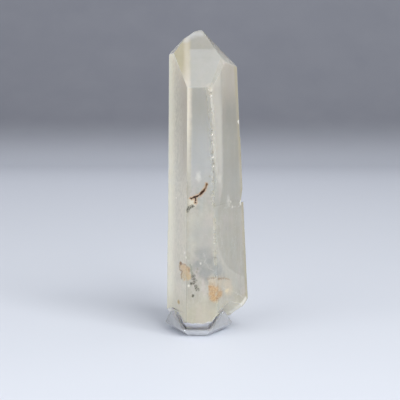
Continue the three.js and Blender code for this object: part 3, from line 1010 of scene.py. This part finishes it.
def wear_sides(shape, edges, settings):
    """Nicks the upright edges and waves the prism faces a little along their growth lines."""
    chipped = shape.faces.layers.float["chipped"]
    lines = []
    for start, end in edges:
        most = settings.nick_depth if start.x > 0 and start.y < -8 * MM else settings.nick_depth * 0.14
        lines.append((start, (end - start).normalized(), (end - start).length, most))
    for vert in shape.verts:
        if not WAVES_LOW < vert.co.z < SHOULDER_TOP:
            continue
        wave = noise.noise(Vector((vert.co.x * 0.05, vert.co.y * 0.05, vert.co.z * 1.3)) / MM)
        depth = settings.growth_depth * (0.5 + 0.5 * wave)
        for index, (start, run, length, most) in enumerate(lines):
            along = (vert.co - start).dot(run)
            if -MM < along < length + MM and (vert.co - start - run * along).length < NICK_REACH:
                nick = nick_depth(vert.co, index, most)
                depth += nick
                if nick > 0.08 * MM:
                    for face in vert.link_faces:
                        face[chipped] = 1.0
        vert.co += inward(vert.co) * depth


def ripple_break(place):
    """How deep a broken surface lies at a place, from 0 to 1: shell-like ripples with a rough grain."""
    scaled = place / MM
    start = Vector((math.copysign(11, place.x), math.copysign(12, place.y), 1.0))
    swirl = noise.noise(scaled * 0.3) * 4
    ripple = 0.5 + 0.5 * math.sin((scaled - start).length * 3.4 + swirl)
    rough = abs(noise.noise(scaled * 0.55)) + 0.5 * abs(noise.noise(scaled * 1.7))
    return 0.3 * ripple + 0.7 * min(rough * 1.4, 1.0)


def break_up(shape, layer, depth):
    """Splits the broken faces finely and sinks them into ripples. Their rims only move along the sides."""
    for _ in range(3):
        long_edges = {
            e for f in shape.faces if f[layer] > 0.5 for e in f.edges if e.calc_length() > 0.9 * MM}
        bmesh.ops.subdivide_edges(shape, edges=list(long_edges), cuts=1, use_grid_fill=True)
        bmesh.ops.triangulate(shape, faces=[f for f in shape.faces if f[layer] > 0.5 and len(f.verts) > 3])
    shape.normal_update()
    moves = []
    for vert in shape.verts:
        kinds = [f[layer] > 0.5 for f in vert.link_faces]
        if not any(kinds):
            continue
        sink = ripple_break(vert.co) * depth
        if all(kinds):
            moves.append((vert, -vert.normal * sink))
        elif vert.co.z < FOOT_TOP:
            moves.append((vert, Vector((0, 0, sink * 1.2))))
    for vert, move in moves:
        vert.co += move


def crystal_shape(settings):
    """The crystal's solid with worn edges, growth lines and rippled breaks."""
    shape = copied_solid("quartz_point")
    for name, belongs in (("broken", is_broken), ("rhomb", is_rhomb), ("front", is_front)):
        layer = shape.faces.layers.float.new(name)
        for face in shape.faces:
            face[layer] = 1.0 if belongs(face) else 0.0
    shape.faces.layers.float.new("chipped")
    layer = shape.faces.layers.float["broken"]
    uprights = upright_edges(shape)
    worn = [e for e in shape.edges if edge_angle(e) > SHARP and e.calc_length() > 1.5 * MM]
    round_edges(shape, worn, settings.edge_wear)
    for start, end in uprights:
        cut_beside(shape, start, end, NICK_STRIP)
    cut_growth_lines(shape, settings.growth_step)
    break_up(shape, layer, settings.break_depth)
    wear_sides(shape, uprights, settings)
    shape.normal_update()
    shade_smooth(shape, lambda face: SMOOTH_BREAK if face[layer] > 0.5 else SMOOTH_FACE)
    return shape


class QUARTZ_OT_crystal(Operator):
    """Model the crystal from its solid and give it its quartz finish, with painted light, shade and glints"""

    bl_idname = "quartz.crystal"
    bl_label = "Quartz point"

    def execute(self, context):
        settings = context.scene.quartz
        shape = crystal_shape(settings)
        piece = made_object("crystal", shape, quartz_material(settings))
        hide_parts("quartz_point")
        return {"FINISHED"}


class QUARTZ_OT_stand(Operator):
    """Model the clear stand from its solid, with moulded edges"""

    bl_idname = "quartz.stand"
    bl_label = "Display stand"

    def execute(self, context):
        settings = context.scene.quartz_stand
        shape = copied_solid("display_stand")
        edges = [e for e in shape.edges if edge_angle(e) > SHARP]
        round_edges(shape, edges, settings.edge_round)
        shade_smooth(shape, lambda face: SMOOTH_STAND)
        piece = made_object("stand", shape, acrylic_material(settings))
        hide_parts("display_stand")
        return {"FINISHED"}


def stage_material(settings):
    """A matt sheet that fades from the pale floor to the grey wall behind it, with painted light on the far
    floor and painted shade towards its right.
    """
    paint = Painter("backdrop")
    far = paint.ramp(paint.y, 0.0, 850.0)
    near = paint.mix(far, tuple(settings.floor), tuple(settings.painted_light_far_floor))
    fade = paint.ramp(paint.y * 0.1 + paint.z, 60.0, 175.0)
    colour = paint.mix(fade, near, tuple(settings.wall))
    weave = paint.noise(0.02, 2.0)
    colour = paint.mix(weave * 0.08, colour, WEAVE_COLOUR)
    # Painted shade towards the right.
    right = paint.ramp(paint.x, -50.0, 350.0)
    colour = paint.mix(right * 0.12, colour, RIGHT_SHADE)
    return paint.finish(paint.principled(colour, 0.55, {"Specular IOR Level": 0.3}))


def backdrop():
    """One sheet that lies flat under the object and curves up into a wall behind it."""
    front, bend, radius, top, half = -0.9, 0.9, 0.4, 1.5, 1.6
    profile = [(front, 0.0), (bend, 0.0)]
    steps = 16
    for step in range(1, steps + 1):
        turn = math.pi / 2 * step / steps
        profile.append((bend + radius * math.sin(turn), radius * (1 - math.cos(turn))))
    profile.append((bend + radius, top))
    shape = bmesh.new()
    line = [shape.verts.new((-half, y, z)) for y, z in profile]
    edges = [shape.edges.new(pair) for pair in zip(line, line[1:])]
    drawn = bmesh.ops.extrude_edge_only(shape, edges=edges)
    moved = [v for v in drawn["geom"] if isinstance(v, bmesh.types.BMVert)]
    bmesh.ops.translate(shape, verts=moved, vec=(2 * half, 0, 0))
    bmesh.ops.recalc_face_normals(shape, faces=shape.faces)
    mesh = bpy.data.meshes.new("backdrop")
    shape.to_mesh(mesh)
    shape.free()
    for polygon in mesh.polygons:
        polygon.use_smooth = True
    return mesh


def area_light(name, place, side, power, colour):
    """A soft square light that faces the object."""
    data = bpy.data.lights.new(name, "AREA")
    data.shape = "RECTANGLE"
    data.size = data.size_y = side
    data.energy = power
    data.color = colour
    light = bpy.data.objects.new(name, data)
    light.location = place
    light.rotation_euler = (Vector(LIGHTS_AIM) - Vector(place)).to_track_quat("-Z", "Y").to_euler()
    bpy.context.scene.collection.objects.link(light)


class QUARTZ_OT_stage(Operator):
    """Set up the floor, the soft lights and the camera"""

    bl_idname = "quartz.stage"
    bl_label = "Stage"

    def execute(self, context):
        scene = context.scene
        sheet = bpy.data.objects.new("backdrop", backdrop())
        sheet.data.materials.append(stage_material(scene.quartz_stage))
        scene.collection.objects.link(sheet)

        data = bpy.data.cameras.new("camera")
        data.lens = CAMERA_LENS
        data.sensor_width = CAMERA_SENSOR
        data.clip_start = 0.01
        camera = bpy.data.objects.new("camera", data)
        camera.location = CAMERA_PLACE
        camera.rotation_euler = Euler((math.pi / 2 - CAMERA_DOWN, 0, 0))
        scene.collection.objects.link(camera)
        scene.camera = camera

        world = bpy.data.worlds.new("studio")
        world.use_nodes = True
        world.node_tree.nodes["Background"].inputs["Color"].default_value = STUDIO_COLOUR
        world.node_tree.nodes["Background"].inputs["Strength"].default_value = STUDIO_STRENGTH
        scene.world = world
        for light in LIGHTS:
            area_light(*light)

        scene.view_settings.view_transform = "Standard"
        scene.cycles.transmission_bounces = 16
        scene.cycles.max_bounces = 20
        scene.cycles.transparent_max_bounces = 16
        scene.cycles.caustics_refractive = True
        scene.cycles.use_denoising = True
        return {"FINISHED"}


class QUARTZ_PT_panel(Panel):
    """Lists the pieces and their settings"""

    bl_label = "Quartz point"
    bl_space_type = "VIEW_3D"
    bl_region_type = "UI"
    bl_category = "Quartz"

    def draw(self, context):
        layout = self.layout
        scene = context.scene
        for title, settings, action in (
            ("Crystal", scene.quartz, QUARTZ_OT_crystal.bl_idname),
            ("Stand", scene.quartz_stand, QUARTZ_OT_stand.bl_idname),
            ("Stage", scene.quartz_stage, QUARTZ_OT_stage.bl_idname),
        ):
            box = layout.box()
            box.label(text=title)
            for name in settings.__annotations__:
                box.prop(settings, name)
            box.operator(action)


CLASSES = (
    QuartzSettings, StandSettings, StageSettings,
    QUARTZ_OT_crystal, QUARTZ_OT_stand, QUARTZ_OT_stage, QUARTZ_PT_panel,
)


def register():
    for item in CLASSES:
        bpy.utils.register_class(item)
    bpy.types.Scene.quartz = PointerProperty(type=QuartzSettings)
    bpy.types.Scene.quartz_stand = PointerProperty(type=StandSettings)
    bpy.types.Scene.quartz_stage = PointerProperty(type=StageSettings)


def unregister():
    del bpy.types.Scene.quartz_stage
    del bpy.types.Scene.quartz_stand
    del bpy.types.Scene.quartz
    for item in reversed(CLASSES):
        bpy.utils.unregister_class(item)


def main():
    """Makes every piece in order."""
    register()
    bpy.ops.quartz.stand()
    bpy.ops.quartz.crystal()
    bpy.ops.quartz.stage()


if __name__ == "__main__":
    main()
